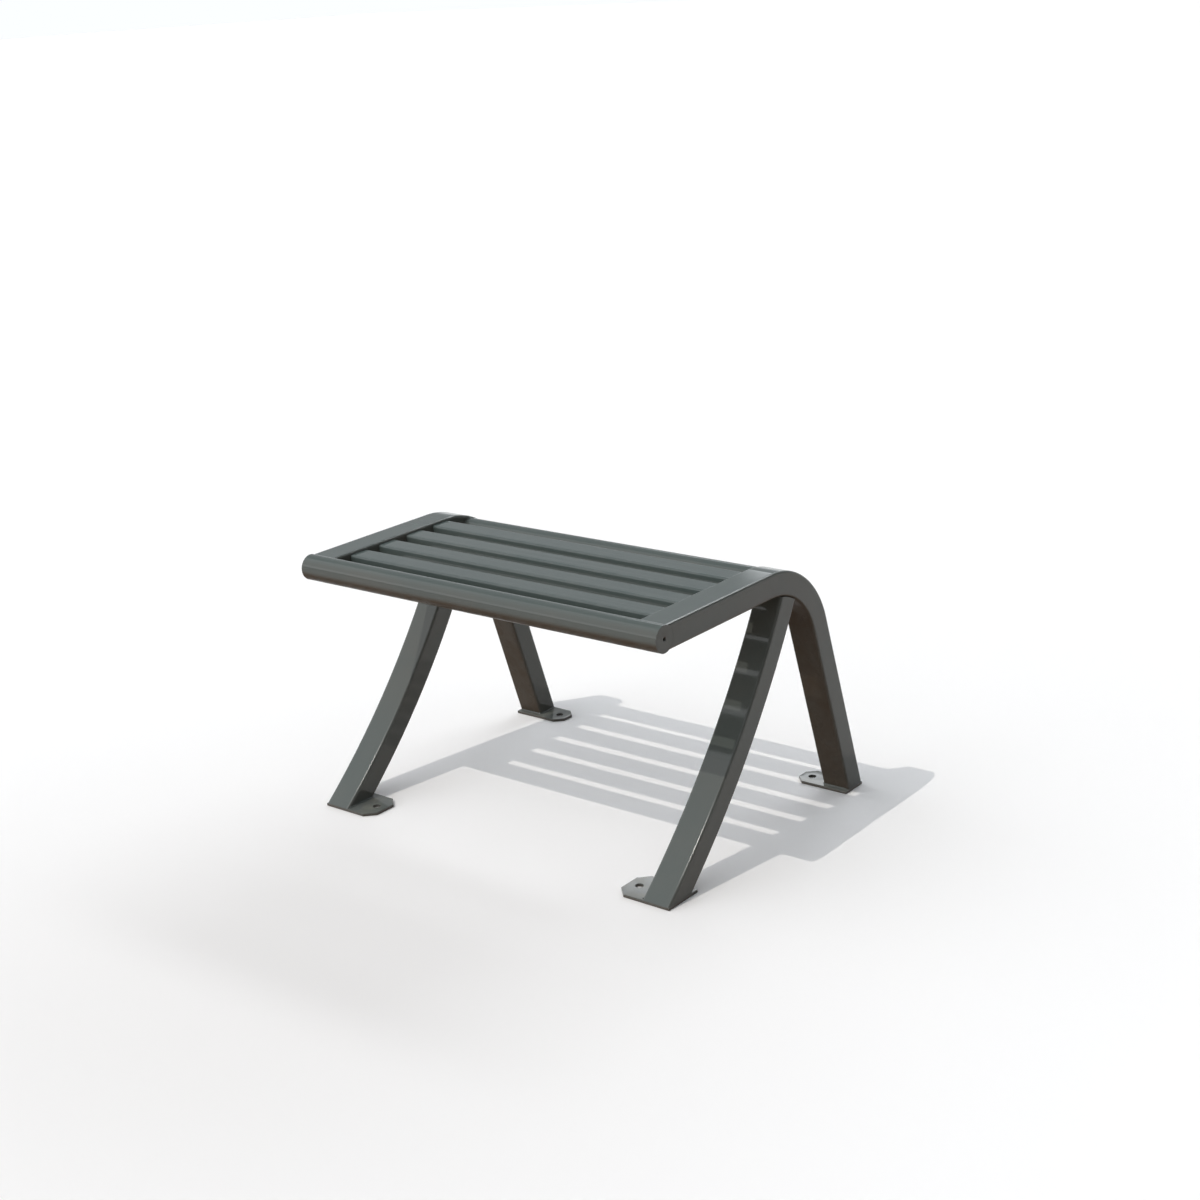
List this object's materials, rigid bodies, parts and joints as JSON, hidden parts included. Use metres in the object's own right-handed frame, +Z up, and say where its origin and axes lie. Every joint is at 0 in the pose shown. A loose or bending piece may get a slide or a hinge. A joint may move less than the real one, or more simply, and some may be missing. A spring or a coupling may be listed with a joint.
{
  "type": "outdoor metal stool",
  "caption": "Welded steel outdoor stool: bent side tubes carry a slatted seat and run down as rear legs, with curved front legs and anchor plates under the feet.",
  "frame": {"origin": "on the floor, under the middle of the stool's outline", "axes": "+X to the right across the seat, +Y from the front rail to the rear legs, +Z up"},
  "size_m": [0.72, 0.553, 0.4411],
  "materials": {
    "frame_paint": "semi-gloss anthracite paint",
    "slat_paint": "semi-gloss anthracite paint, a little worn by sitting",
    "plate_paint": "semi-gloss anthracite paint, dusty"
  },
  "bodies": {
    "root": {"front_rail": "frame_paint", "rear_rail": "frame_paint", "front_rail_left_cap": "frame_paint", "front_rail_right_cap": "frame_paint", "left_side_tube": "frame_paint", "left_front_leg": "frame_paint", "right_side_tube": "frame_paint", "right_front_leg": "frame_paint", "slat_1": "slat_paint", "slat_2": "slat_paint", "slat_3": "slat_paint", "slat_4": "slat_paint", "left_front_base_plate": "plate_paint", "left_rear_base_plate": "plate_paint", "right_front_base_plate": "plate_paint", "right_rear_base_plate": "plate_paint"}
  },
  "joints": []
}
